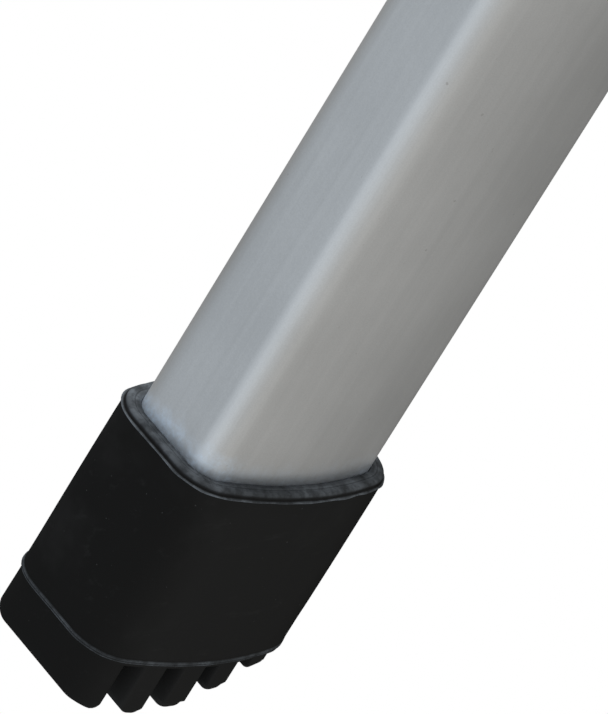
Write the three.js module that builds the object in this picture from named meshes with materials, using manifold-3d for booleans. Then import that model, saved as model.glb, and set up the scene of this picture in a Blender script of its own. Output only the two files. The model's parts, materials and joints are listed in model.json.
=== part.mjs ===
// A standoff stabiliser for a leaning ladder. Two splayed arms end in ribbed rubber feet that
// rest on the wall, and two brackets hold a pair of the ladder's rungs: a fixed hook takes the
// upper rung and a spring latch snaps over the lower one.
//
// Millimetres. X runs along the crossbar, Y runs up the ladder and Z points from the wall to the
// ladder. The origin is on the wall side, midway between the feet.
import * as THREE from "three";
import { mergeVertices } from "three/addons/utils/BufferGeometryUtils.js";
import Module from "manifold-3d";

const wasm = await Module();
wasm.setup();

// ---- Driving dimensions ----

const GAP = 0.3; // air left between neighbouring pieces

// The tube: a flat oval rectangle whose wide faces are crowned.
const TUBE_WIDE = 44.5; // along the ladder
const TUBE_THICK = 26;
const TUBE_CROWN = 1.95; // rise of a wide face above its edges
const TUBE_CORNER = 5.4;
const TUBE_WALL = 1.8;

// The frame the two tubes make.
const LEAN = THREE.MathUtils.degToRad(39.2); // of an arm from the Z axis
const STANDOFF = 241; // wall to the crossbar's centre line
const FOOT_SPACING = 1090; // between the arms' centre lines where the soles begin
const BEND_RADIUS = 100;
const BEND_STEPS = 9;
const SPLICE_HALF = 80; // half the length of the tube that joins the arms
const SPLICE_BOLT_X = 40;

// The feet.
const BOOT_WALL = 3.25;
const BOOT_SLEEVE = 37.8;
const BOOT_FLOOR = 3;
const BOOT_LIP = 1.2; // depth of the bead round the sleeve's mouth
const BOOT_BEAD = 0.4; // how far the bead and the sole's edge stand out
const SOLE_WEB = 1.2; // rubber left above the grooves
const SOLE_DEPTH = 11.7;
const SOLE_RIBS = [
  { from: -TUBE_WIDE / 2 - BOOT_WALL, to: -17.7, depth: 11.4, round: 2.4 },
  { from: -13.8, to: -8.7, depth: SOLE_DEPTH, round: 1.4 },
  { from: -4.7, to: 0.7, depth: 11.1, round: 1.6 },
  { from: 3.9, to: 9.3, depth: 7.8, round: 2 },
  { from: 13.3, to: 18, depth: 4.1, round: 1.2 },
];
const SOLE_TOE = 6; // radius that lifts the shallow end of the sole
const RIB_HEEL = 2.6; // radius on the ribs' ends that face away from the arms' middle
const RIB_END = 0.6; // radius on their other ends

// The ladder the brackets fit.
const RUNG_PITCH = 304.8;
const RUNG_RADIUS = 17.5;
const RUNG_PLAY = 1.5;

// The brackets.
const BRACKET_X = 110;
const CHANNEL_HALF = 205; // half the channel's length
const CHANNEL_WIDTH = 32;
const CHANNEL_HEIGHT = 26;
const CHANNEL_WALL = 3;
const CLAMP_HALF = 41; // half the length of the clamp's two jaws
const CLAMP_THICK = 6; // of a jaw over the tube's crown
const CLAMP_SPLIT = 2; // half the space left between the jaws
const CLAMP_BOLT_Y = 32;
const PAD_LENGTH = 32;
const PAD_THICK = 3;
const HOOK_WIDTH = 24;
const HOOK_THICK = 4;
const HOOK_LINER = 2;
const LATCH_WIDTH = 12;
const LATCH_THICK = 8;

// Fasteners.
const FACETS = 16;
const M8 = { shank: 3.9, hole: 4.3, head: 9.2, dome: 4, nut: 6.5, nutHeight: 6.5, washer: 8.4 };
const M6 = { shank: 2.9, hole: 3.3, head: 7, dome: 3.2, nut: 5, nutHeight: 5, washer: 6.4 };
const WASHER_THICK = 1.5;

// ---- Finishes ----

const finish = (color, roughness, metalness) =>
  new THREE.MeshStandardMaterial({ color, roughness, metalness });
const satinAluminium = () => finish(0x9ea2a5, 0.42, 0.9);
const blackRubber = () => finish(0x1d1e20, 0.62, 0);
const zincSteel = () => finish(0xb4b5ae, 0.32, 0.95);
const blackSteel = () => finish(0x26272a, 0.45, 0.4);
const castAluminium = () => finish(0x8c8f92, 0.55, 0.85);
const blackNylon = () => finish(0x2b2c2e, 0.5, 0);

// ---- Solids ----

// A closed geometry as a manifold-3d solid, which can be joined and cut.
function solidFrom(geometry) {
  const bare = geometry.clone();
  bare.deleteAttribute("normal");
  bare.deleteAttribute("uv");
  const merged = mergeVertices(bare, 1e-4);
  return new wasm.Manifold(
    new wasm.Mesh({
      numProp: 3,
      vertProperties: merged.attributes.position.array,
      triVerts: new Uint32Array(merged.index.array),
    }),
  );
}

function geometryFrom(solid) {
  const { vertProperties, triVerts } = solid.getMesh();
  const indexed = new THREE.BufferGeometry();
  indexed.setAttribute("position", new THREE.BufferAttribute(vertProperties, 3));
  indexed.setIndex(new THREE.BufferAttribute(triVerts, 1));
  const faceted = indexed.toNonIndexed();
  faceted.computeVertexNormals();
  return faceted;
}

function named(name, material, solid) {
  const mesh = new THREE.Mesh(geometryFrom(solid), material);
  mesh.name = name;
  return mesh;
}

// A prism of a shape drawn in X and Y, standing from z0 to z1.
function prism(shape, z0, z1, curveSegments = 8) {
  const geometry = new THREE.ExtrudeGeometry(shape, {
    depth: z1 - z0,
    bevelEnabled: false,
    curveSegments,
  });
  geometry.translate(0, 0, z0);
  return solidFrom(geometry);
}

// A prism along X of a shape whose own x and y are the part's Y and Z.
function sideways(shape, width, curveSegments = 8) {
  const geometry = new THREE.ExtrudeGeometry(shape, {
    depth: width,
    bevelEnabled: false,
    curveSegments,
  });
  geometry.translate(0, 0, -width / 2);
  geometry.rotateZ(Math.PI / 2);
  geometry.rotateY(Math.PI / 2);
  return solidFrom(geometry);
}

// A body turned about Z from (radius, height) pairs that start and end on the axis.
function turned(profile, facets = FACETS) {
  const points = profile.map(([radius, height]) => new THREE.Vector2(radius, height));
  const geometry = new THREE.LatheGeometry(points, facets);
  geometry.rotateX(Math.PI / 2);
  return solidFrom(geometry);
}

const rod = (radius, z0, z1, facets) =>
  turned([[0, z0], [radius, z0], [radius, z1], [0, z1]], facets);

// The same rod lying along X about the line y, z.
const crossRod = (radius, x0, x1, y, z) =>
  rod(radius, x0, x1).rotate([0, 90, 0]).translate([0, y, z]);

// ---- The tube's section ----

// The section grown outwards by an offset, as points in (across the thickness, along the width).
function tubeOutline(offset) {
  const crownSteps = 7;
  const cornerSteps = 4;
  const coreWide = TUBE_WIDE / 2 - TUBE_CORNER;
  const coreThick = TUBE_THICK / 2 - TUBE_CORNER;
  const crownRadius = (coreWide ** 2 + TUBE_CROWN ** 2) / (2 * TUBE_CROWN);
  const crownAngle = Math.asin(coreWide / crownRadius);
  const radius = TUBE_CORNER + offset;
  const quarter = [];
  for (let i = 0; i < cornerSteps; i++) {
    const angle = Math.PI / 2 - (i / cornerSteps) * (Math.PI / 2 - crownAngle);
    quarter.push([
      coreThick - TUBE_CROWN + radius * Math.cos(angle),
      coreWide + radius * Math.sin(angle),
    ]);
  }
  for (let i = 0; i <= crownSteps / 2; i++) {
    const angle = crownAngle * (1 - (2 * i) / crownSteps);
    quarter.push([
      coreThick - crownRadius + (crownRadius + radius) * Math.cos(angle),
      (crownRadius + radius) * Math.sin(angle),
    ]);
  }
  const mirrored = [...quarter].reverse().map(([thick, wide]) => [thick, -wide]);
  const half = [...quarter, ...mirrored];
  const other = half.map(([thick, wide]) => [-thick, -wide]);
  return [...half, ...other].map(([thick, wide]) => new THREE.Vector2(thick, wide)).reverse();
}

function tubeShape(outer, inner) {
  const shape = new THREE.Shape(tubeOutline(outer));
  if (inner !== undefined) shape.holes.push(new THREE.Path(tubeOutline(inner)));
  return shape;
}

// ---- The rubber foot ----

// The sole seen along the tube's thickness, as (width, height) with the sleeve's end at 0.
function soleProfile() {
  const half = TUBE_WIDE / 2 + BOOT_WALL;
  const clear = half + 1;
  const shape = new THREE.Shape();
  shape.moveTo(-clear, BOOT_SLEEVE + 1);
  shape.lineTo(-clear, SOLE_RIBS[0].round - SOLE_RIBS[0].depth);
  SOLE_RIBS.forEach(({ from, to, depth, round }, i) => {
    if (i > 0) shape.lineTo(from, -SOLE_WEB);
    shape.absarc(from + round, round - depth, round, Math.PI, 1.5 * Math.PI, false);
    shape.absarc(to - round, round - depth, round, 1.5 * Math.PI, 2 * Math.PI, false);
    shape.lineTo(to, -SOLE_WEB);
  });
  shape.lineTo(half - SOLE_TOE, 0);
  shape.absarc(half - SOLE_TOE, SOLE_TOE, SOLE_TOE, -Math.PI / 2, 0, false);
  shape.lineTo(clear, SOLE_TOE);
  shape.lineTo(clear, BOOT_SLEEVE + 1);
  return shape;
}

// The left foot on its own axes: X across the tube's thickness and up off the wall, Y along its
// width, Z up the arm.
function bootSolid() {
  const half = TUBE_THICK / 2 + BOOT_WALL;
  const body = prism(tubeShape(BOOT_WALL - BOOT_BEAD), -SOLE_DEPTH - 1, BOOT_SLEEVE);
  const lip = prism(tubeShape(BOOT_WALL), BOOT_SLEEVE - 2 * BOOT_LIP, BOOT_SLEEVE - BOOT_LIP);
  const edge = prism(tubeShape(BOOT_WALL), -SOLE_DEPTH - 1, BOOT_LIP);
  const comb = sideways(soleProfile(), 2 * half + 2, 4);
  const socket = prism(tubeShape(GAP), BOOT_FLOOR, BOOT_SLEEVE + 1);
  return body.add(lip).add(edge).intersect(comb).intersect(soleEnds(half)).subtract(socket);
}

// Rounds the ribs' ends, seen along the tube's width.
function soleEnds(half) {
  const clear = half + 1;
  const shape = new THREE.Shape();
  shape.moveTo(-clear, BOOT_SLEEVE + 1);
  shape.lineTo(-clear, RIB_HEEL - SOLE_DEPTH);
  shape.lineTo(-half, RIB_HEEL - SOLE_DEPTH);
  shape.absarc(RIB_HEEL - half, RIB_HEEL - SOLE_DEPTH, RIB_HEEL, Math.PI, 1.5 * Math.PI, false);
  shape.absarc(half - RIB_END, RIB_END - SOLE_DEPTH, RIB_END, 1.5 * Math.PI, 2 * Math.PI, false);
  shape.lineTo(clear, RIB_END - SOLE_DEPTH);
  shape.lineTo(clear, BOOT_SLEEVE + 1);
  return sideways(shape, TUBE_WIDE + 2 * BOOT_WALL + 2, 4).rotate([0, 0, -90]);
}

// ---- The bent arms ----

const ARM = new THREE.Vector3(Math.sin(LEAN), 0, Math.cos(LEAN)); // up the left arm
const BEND_ANGLE = Math.PI / 2 - LEAN;
const BEND_TANGENT = BEND_RADIUS * Math.tan(BEND_ANGLE / 2);

// Where an arm's centre line reaches the sole: the leaning foot's lowest edge is at Z = 0.
const FOOT_LIFT = -bootSolid().rotate([0, THREE.MathUtils.radToDeg(LEAN), 0]).boundingBox().min[2];
const FOOT = new THREE.Vector3(-FOOT_SPACING / 2, 0, FOOT_LIFT);
const ARM_LENGTH = (STANDOFF - FOOT_LIFT) / Math.cos(LEAN);
const CORNER = FOOT.clone().addScaledVector(ARM, ARM_LENGTH);

// The left arm's centre line: straight up from the foot, round the bend, then along the crossbar
// to the middle. It is followed by station, so that sections stand only where they are needed.
class ArmAxis extends THREE.Curve {
  constructor(startHeight) {
    super();
    this.start = FOOT.clone().addScaledVector(ARM, startHeight);
    this.bendStart = CORNER.clone().addScaledVector(ARM, -BEND_TANGENT);
    this.bendEnd = new THREE.Vector3(CORNER.x + BEND_TANGENT, 0, STANDOFF);
    this.end = new THREE.Vector3(-GAP, 0, STANDOFF);
    this.steps = BEND_STEPS + 2;
  }
  headingAt(u) {
    const share = THREE.MathUtils.clamp((u * this.steps - 1) / BEND_STEPS, 0, 1);
    return LEAN + BEND_ANGLE * share;
  }
  getPointAt(u) {
    const station = u * this.steps;
    if (station <= 1) return this.start.clone().lerp(this.bendStart, station);
    if (station > this.steps - 1)
      return this.bendEnd.clone().lerp(this.end, station - this.steps + 1);
    const heading = this.headingAt(u);
    return new THREE.Vector3(
      this.bendEnd.x - BEND_RADIUS * Math.cos(heading),
      0,
      STANDOFF - BEND_RADIUS * (1 - Math.sin(heading)),
    );
  }
  getPoint(u) {
    return this.getPointAt(u);
  }
  getTangentAt(u) {
    const heading = this.headingAt(u);
    return new THREE.Vector3(Math.sin(heading), 0, Math.cos(heading));
  }
}

function leftArmSolid() {
  const axis = new ArmAxis(BOOT_FLOOR + GAP);
  // An extruded section's own x lies across the path's plane, so the outline is turned over.
  const swap = (points) => points.map((p) => new THREE.Vector2(p.y, p.x)).reverse();
  const shape = new THREE.Shape(swap(tubeOutline(0)));
  shape.holes.push(new THREE.Path(swap(tubeOutline(-TUBE_WALL))));
  const tube = solidFrom(
    new THREE.ExtrudeGeometry(shape, { extrudePath: axis, steps: axis.steps }),
  );
  return tube.subtract(spliceHole(-1));
}

const spliceHole = (side) =>
  rod(M6.hole, STANDOFF - TUBE_THICK, STANDOFF + TUBE_THICK).translate([
    side * SPLICE_BOLT_X,
    0,
    0,
  ]);

// The tube inside the crossbar that joins the two arms.
function spliceSolid() {
  const outside = -(TUBE_WALL + GAP);
  const geometry = new THREE.ExtrudeGeometry(tubeShape(outside, outside - TUBE_WALL), {
    depth: 2 * SPLICE_HALF,
    bevelEnabled: false,
  });
  geometry.translate(0, 0, -SPLICE_HALF);
  geometry.rotateY(Math.PI / 2);
  geometry.translate(0, 0, STANDOFF);
  return solidFrom(geometry).subtract(spliceHole(-1)).subtract(spliceHole(1));
}

// A foot on the lower end of an arm. The right one is the left one's mirror image.
function foot(side, name) {
  const holder = new THREE.Group();
  const solid = side < 0 ? bootSolid() : bootSolid().mirror([1, 0, 0]);
  holder.add(named(name, blackRubber(), solid));
  holder.position.set(-side * FOOT.x, 0, FOOT.z);
  holder.rotation.y = -side * LEAN;
  return holder;
}

// ---- Fasteners ----

// A cup-headed bolt standing on Z: the underside of its head is at z = 0 and it hangs below.
function carriageBolt(size, length) {
  const domeSteps = 3;
  const rim = size.dome / 4; // height of the head's straight edge under its dome
  const chamfer = 0.6;
  const dome = [];
  for (let i = 0; i <= domeSteps; i++) {
    const angle = (i / domeSteps) * (Math.PI / 2);
    dome.push([size.head * Math.cos(angle), rim + (size.dome - rim) * Math.sin(angle)]);
  }
  return turned([
    [0, -length],
    [size.shank - chamfer, -length],
    [size.shank, chamfer - length],
    [size.shank, 0],
    [size.head, 0],
    ...dome,
  ]);
}

// A lock nut whose seat is at z = 0 and whose collar points down.
function lockNut(size) {
  const hexagon = new THREE.Shape();
  for (let i = 0; i < 6; i++) {
    const angle = (i / 6) * 2 * Math.PI;
    const corner = size.nut / Math.cos(Math.PI / 6);
    hexagon.lineTo(corner * Math.cos(angle), corner * Math.sin(angle));
  }
  const shoulder = size.nutHeight * 0.7; // height of the hexagon, below which the collar shows
  const collar = size.nut * 0.9;
  return prism(hexagon, -shoulder, 0)
    .add(rod(collar, -size.nutHeight, -shoulder / 2))
    .subtract(rod(size.shank + GAP, -2 * size.nutHeight, size.nutHeight));
}

const washer = (size) =>
  rod(size.washer, -WASHER_THICK, 0).subtract(rod(size.shank + GAP, -2 * WASHER_THICK, 1));

// A bolt with its washer and nut, pointing down from a head seat to a nut seat.
function boltSet(name, size, x, y, headSeat, nutSeat) {
  const set = new THREE.Group();
  const stickOut = 2; // of the shank past its nut
  const length = headSeat - nutSeat + WASHER_THICK + size.nutHeight + 3 * GAP + stickOut;
  const bolt = named(`${name}_bolt`, zincSteel(), carriageBolt(size, length));
  const ring = named(`${name}_washer`, zincSteel(), washer(size));
  const nut = named(`${name}_nut`, zincSteel(), lockNut(size));
  bolt.position.z = headSeat + GAP;
  ring.position.z = nutSeat - GAP;
  nut.position.z = nutSeat - WASHER_THICK - 2 * GAP;
  set.add(bolt, ring, nut);
  set.position.set(x, y, 0);
  return set;
}

// ---- The bracket ----

// Heights above the crossbar's centre line.
const JAW_TOP = TUBE_THICK / 2 + GAP + CLAMP_THICK;
const WEB_BASE = JAW_TOP + GAP;
const WEB_TOP = WEB_BASE + CHANNEL_WALL;
const RAIL_TOP = WEB_BASE + CHANNEL_HEIGHT;
const PAD_TOP = RAIL_TOP + GAP + PAD_THICK;
const RUNG_Y = RUNG_PITCH / 2;
const RUNG_Z = PAD_TOP + RUNG_RADIUS;
const CHANNEL_INSIDE = CHANNEL_WIDTH / 2 - CHANNEL_WALL;
const HOOK_BOLT_Y = [96, 118];

function channelSolid() {
  const half = CHANNEL_WIDTH / 2;
  const inside = CHANNEL_INSIDE;
  const corner = 2;
  const section = new THREE.Shape();
  section.moveTo(-half, RAIL_TOP);
  section.lineTo(-half, WEB_BASE + corner);
  section.absarc(corner - half, WEB_BASE + corner, corner, Math.PI, 1.5 * Math.PI, false);
  section.absarc(half - corner, WEB_BASE + corner, corner, 1.5 * Math.PI, 2 * Math.PI, false);
  section.lineTo(half, RAIL_TOP);
  section.lineTo(inside, RAIL_TOP);
  section.lineTo(inside, WEB_TOP);
  section.lineTo(-inside, WEB_TOP);
  section.lineTo(-inside, RAIL_TOP);
  let channel = prism(section, -CHANNEL_HALF, CHANNEL_HALF, 3).rotate([90, 0, 0]);
  for (const y of [-CLAMP_BOLT_Y, CLAMP_BOLT_Y])
    channel = channel.subtract(rod(M8.hole, 0, RAIL_TOP).translate([0, y, 0]));
  for (const y of HOOK_BOLT_Y)
    channel = channel.subtract(rod(M6.hole, 0, RAIL_TOP).translate([0, y, 0]));
  const pinHole = crossRod(PIVOT.pin + GAP, -half - 1, half + 1, PIVOT.y, PIVOT.z);
  return channel.subtract(pinHole).subtract(endCut(1)).subtract(endCut(-1));
}

// Slopes the rails down at an end of the channel.
function endCut(end) {
  const run = 14;
  const shape = new THREE.Shape();
  shape.moveTo(end * (CHANNEL_HALF - run), RAIL_TOP + 1);
  shape.lineTo(end * (CHANNEL_HALF + 1), RAIL_TOP + 1);
  shape.lineTo(end * (CHANNEL_HALF + 1), RAIL_TOP - run);
  return sideways(shape, CHANNEL_WIDTH + 2);
}

// One jaw of the clamp round the crossbar, above it; the lower jaw is the same one turned over.
function jawSolid() {
  const half = CHANNEL_WIDTH / 2;
  const chamfer = 4;
  const shape = new THREE.Shape();
  shape.moveTo(-CLAMP_HALF, CLAMP_SPLIT);
  shape.lineTo(CLAMP_HALF, CLAMP_SPLIT);
  shape.lineTo(CLAMP_HALF, JAW_TOP - chamfer);
  shape.lineTo(CLAMP_HALF - chamfer, JAW_TOP);
  shape.lineTo(chamfer - CLAMP_HALF, JAW_TOP);
  shape.lineTo(-CLAMP_HALF, JAW_TOP - chamfer);
  let jaw = sideways(shape, CHANNEL_WIDTH);
  const seat = new THREE.ExtrudeGeometry(tubeShape(GAP), {
    depth: CHANNEL_WIDTH + 2,
    bevelEnabled: false,
  });
  seat.translate(0, 0, -half - 1);
  seat.rotateY(Math.PI / 2);
  jaw = jaw.subtract(solidFrom(seat));
  for (const y of [-CLAMP_BOLT_Y, CLAMP_BOLT_Y])
    jaw = jaw.subtract(rod(M8.hole, 0, JAW_TOP + 1).translate([0, y, 0]));
  return jaw;
}

// The outline of a strip bent along a path: the path's points moved out to both sides.
function stripShape(points, low, high) {
  const normals = points.map((_, i) => {
    const before = points[Math.max(i - 1, 0)];
    const after = points[Math.min(i + 1, points.length - 1)];
    const along = after.clone().sub(before).normalize();
    return new THREE.Vector2(-along.y, along.x);
  });
  const side = (distance) => points.map((p, i) => p.clone().addScaledVector(normals[i], distance));
  return new THREE.Shape([...side(high), ...side(low).reverse()]);
}

// The inside face of the upper hook, in Y and Z: along the web, up behind the rung, over it, and
// out to a lip that is flared to lead the rung in.
const HOOK_BACK_Y = RUNG_Y + RUNG_RADIUS + RUNG_PLAY + HOOK_LINER + GAP;
const HOOK_ROOF_Z = RUNG_Z + RUNG_RADIUS + RUNG_PLAY + HOOK_LINER + GAP;
const HOOK_TIP_Y = RUNG_Y - 8;

function hookPath(fromFoot) {
  const footZ = WEB_TOP + GAP + HOOK_THICK;
  const inner = 5; // radius where the strap turns up off the web
  const crook = 16; // radius where it turns over the rung
  const flare = { y: 9, z: 4 };
  const path = new THREE.Path();
  if (fromFoot) {
    path.moveTo(HOOK_BOLT_Y[0] - HOOK_WIDTH / 2, footZ);
    path.lineTo(HOOK_BACK_Y - inner, footZ);
    path.absarc(HOOK_BACK_Y - inner, footZ + inner, inner, -Math.PI / 2, 0, false);
  } else {
    path.moveTo(HOOK_BACK_Y, PAD_TOP + 1);
  }
  path.absarc(HOOK_BACK_Y - crook, HOOK_ROOF_Z - crook, crook, 0, Math.PI / 2, false);
  path.lineTo(HOOK_TIP_Y, HOOK_ROOF_Z);
  if (fromFoot) path.lineTo(HOOK_TIP_Y - flare.y, HOOK_ROOF_Z + flare.z);
  return path.getPoints(6);
}

function hookSolid() {
  const strap = sideways(stripShape(hookPath(true), -HOOK_THICK, 0), HOOK_WIDTH);
  return HOOK_BOLT_Y.reduce(
    (hook, y) => hook.subtract(rod(M6.hole, 0, RAIL_TOP).translate([0, y, 0])),
    strap,
  );
}

// A soft lining that keeps the hook off the rung.
const linerSolid = () =>
  sideways(stripShape(hookPath(false), GAP, GAP + HOOK_LINER), HOOK_WIDTH);

// A rubber block that caps both rails where a rung rests, with a lug held between them.
function padSolid(length) {
  const half = CHANNEL_WIDTH / 2;
  const lug = CHANNEL_INSIDE - GAP;
  const lugDepth = 7;
  const shape = new THREE.Shape();
  shape.moveTo(-half, RAIL_TOP + GAP);
  shape.lineTo(-lug, RAIL_TOP + GAP);
  shape.lineTo(-lug, RAIL_TOP - lugDepth);
  shape.lineTo(lug, RAIL_TOP - lugDepth);
  shape.lineTo(lug, RAIL_TOP + GAP);
  shape.lineTo(half, RAIL_TOP + GAP);
  shape.lineTo(half, PAD_TOP);
  shape.lineTo(-half, PAD_TOP);
  return prism(shape, -length / 2, length / 2).rotate([90, 0, 0]);
}

// ---- The spring latch ----

// The pin's centre line, its radius and the radius of the latch's boss on it.
const PIVOT = {
  y: -RUNG_Y - RUNG_RADIUS - RUNG_PLAY - LATCH_THICK / 2,
  z: WEB_TOP + 10,
  pin: 3,
  boss: 8,
};

// The latch's outline in Y and Z: a boss on the pin, a stem behind the rung, a hooked nose with a
// ramp over it, and a thumb tab that points away from the rung.
function latchSolid() {
  const front = PIVOT.y + LATCH_THICK / 2;
  const back = PIVOT.y - LATCH_THICK / 2;
  const noseZ = RUNG_Z + RUNG_RADIUS + RUNG_PLAY;
  const throat = 3; // radius of the corner the rung nestles in
  const tip = { reach: 12.5, rise: 3, radius: 2 };
  const crest = noseZ + 13;
  const shoulder = 5;
  const tab = { z: RUNG_Z + 6, end: -CHANNEL_HALF, chamfer: 1, thick: 4, root: 7 };
  const stem = new THREE.Shape();
  stem.moveTo(front, PIVOT.z);
  stem.lineTo(front, noseZ - throat);
  stem.absarc(front + throat, noseZ - throat, throat, Math.PI, Math.PI / 2, true);
  stem.absarc(front + tip.reach, noseZ + tip.rise, tip.radius, -Math.PI / 3, Math.PI / 3, false);
  stem.lineTo(front - 1, crest);
  stem.absarc(back + shoulder, crest - shoulder, shoulder, Math.PI / 2, Math.PI, false);
  stem.lineTo(back, tab.z + tab.root);
  stem.lineTo(tab.end + tab.chamfer, tab.z + tab.thick);
  stem.lineTo(tab.end, tab.z + tab.thick / 2);
  stem.lineTo(tab.end + tab.chamfer, tab.z);
  stem.lineTo(back, tab.z);
  stem.lineTo(back, PIVOT.z);
  const pinHole = crossRod(PIVOT.pin + GAP, -LATCH_WIDTH, LATCH_WIDTH, PIVOT.y, PIVOT.z);
  return sideways(stem, LATCH_WIDTH, 4)
    .add(crossRod(PIVOT.boss, -LATCH_WIDTH / 2, LATCH_WIDTH / 2, PIVOT.y, PIVOT.z))
    .subtract(pinHole);
}

// A clevis pin along X with a flat head on one end and a rolled rim on the other.
function pivotPinSolid() {
  const half = CHANNEL_WIDTH / 2 + GAP;
  const { pin } = PIVOT;
  const head = { radius: pin + 1.6, height: 2.5 };
  const rim = { radius: pin + 1.2, height: 1.4 };
  const profile = [
    [0, -half - head.height],
    [head.radius, -half - head.height],
    [head.radius, -half],
    [pin, -half],
    [pin, half],
    [rim.radius, half],
    [rim.radius, half + rim.height],
    [0, half + rim.height],
  ];
  return turned(profile).rotate([0, 90, 0]).translate([0, PIVOT.y, PIVOT.z]);
}

// A nylon bush that fills the pin's other half.
function spacerSolid() {
  const wall = 3;
  const from = LATCH_WIDTH / 2 + GAP;
  const to = CHANNEL_INSIDE - GAP;
  return crossRod(PIVOT.pin + wall, from, to, PIVOT.y, PIVOT.z).subtract(
    crossRod(PIVOT.pin + GAP, from - 1, to + 1, PIVOT.y, PIVOT.z),
  );
}

// The torsion spring's centre line: a leg along the web, the coils round the pin, and a leg that
// rises behind the latch's stem. Both legs leave the coils along their tangent.
class SpringLine extends THREE.Curve {
  constructor(radius, turns, from, to) {
    super();
    Object.assign(this, { radius, turns, from, to });
  }
  getPoint(u) {
    const share = 0.12; // of the curve's parameter that each leg takes
    const reach = 14; // length of a leg
    const along = THREE.MathUtils.clamp((u - share) / (1 - 2 * share), 0, 1);
    const angle = -Math.PI / 2 - along * this.turns * 2 * Math.PI;
    const beyond = (reach * (Math.max(0, u - 1 + share) - Math.max(0, share - u))) / share;
    return new THREE.Vector3(
      THREE.MathUtils.lerp(this.from, this.to, along),
      this.radius * Math.cos(angle) + beyond * Math.sin(angle),
      this.radius * Math.sin(angle) - beyond * Math.cos(angle),
    );
  }
}

function springSolid() {
  const wire = 0.8; // radius
  const coil = 5.4;
  const turns = 2.25;
  const from = GAP + wire - CHANNEL_INSIDE;
  const to = -LATCH_WIDTH / 2 - GAP - wire;
  const line = new SpringLine(coil, turns, from, to);
  const section = new THREE.Shape();
  for (let i = 0; i < 6; i++)
    section.lineTo(wire * Math.cos((i / 3) * Math.PI), wire * Math.sin((i / 3) * Math.PI));
  const geometry = new THREE.ExtrudeGeometry(section, { extrudePath: line, steps: 52 });
  return solidFrom(geometry).translate([0, PIVOT.y, PIVOT.z]);
}

// Everything that clamps to the crossbar on one side.
function bracket(side, name) {
  const group = new THREE.Group();
  const jawBelow = jawSolid().rotate([180, 0, 0]);
  const hookSeat = WEB_TOP + GAP + HOOK_THICK;
  const [outer, inner] = HOOK_BOLT_Y;
  group.add(
    named(`${name}_channel`, satinAluminium(), channelSolid()),
    named(`${name}_upper_jaw`, castAluminium(), jawSolid()),
    named(`${name}_lower_jaw`, castAluminium(), jawBelow),
    named(`${name}_rung_hook`, blackSteel(), hookSolid()),
    named(`${name}_hook_liner`, blackRubber(), linerSolid()),
    named(`${name}_upper_rung_pad`, blackRubber(), padSolid(PAD_LENGTH).translate([0, RUNG_Y, 0])),
    named(`${name}_lower_rung_pad`, blackRubber(), padSolid(PAD_LENGTH).translate([0, -RUNG_Y, 0])),
    named(`${name}_latch`, blackSteel(), latchSolid()),
    named(`${name}_latch_pin`, zincSteel(), pivotPinSolid()),
    named(`${name}_latch_spacer`, blackNylon(), spacerSolid()),
    named(`${name}_latch_spring`, zincSteel(), springSolid()),
    boltSet(`${name}_clamp_upper`, M8, 0, CLAMP_BOLT_Y, WEB_TOP, -JAW_TOP),
    boltSet(`${name}_clamp_lower`, M8, 0, -CLAMP_BOLT_Y, WEB_TOP, -JAW_TOP),
    boltSet(`${name}_hook_outer`, M6, 0, outer, hookSeat, WEB_BASE),
    boltSet(`${name}_hook_inner`, M6, 0, inner, hookSeat, WEB_BASE),
  );
  group.position.set(side * BRACKET_X, 0, STANDOFF);
  return group;
}

// ---- The stabiliser ----

const stabiliser = new THREE.Group();
const leftArm = leftArmSolid();
const crown = TUBE_THICK / 2;
stabiliser.add(
  named("left_arm", satinAluminium(), leftArm),
  named("right_arm", satinAluminium(), leftArm.mirror([1, 0, 0])),
  named("centre_splice", satinAluminium(), spliceSolid()),
  foot(-1, "left_foot"),
  foot(1, "right_foot"),
  bracket(-1, "left"),
  bracket(1, "right"),
);
for (const [side, name] of [[-1, "left_splice"], [1, "right_splice"]]) {
  const set = boltSet(name, M6, side * SPLICE_BOLT_X, 0, crown, -crown);
  set.position.z = STANDOFF;
  stabiliser.add(set);
}

export default stabiliser;
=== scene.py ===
"""The looks of a standoff ladder stabiliser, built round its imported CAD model.

Two bent aluminium tubes make a frame that stands on two ribbed rubber feet. Two brackets clamp to
its crossbar and hold the ladder's rungs with a fixed hook and a spring latch. The tubes and the
feet are new surfaces worked out here; the other pieces are the CAD pieces with eased edges.

Lengths are in metres. X runs along the crossbar, Y up the ladder and Z from the wall to the ladder.
"""

import json
import logging
import math
from collections.abc import Mapping
from dataclasses import dataclass, field
from enum import Enum
from typing import Any

import bmesh
import bpy
import numpy as np
from mathutils import Matrix, Vector


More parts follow.
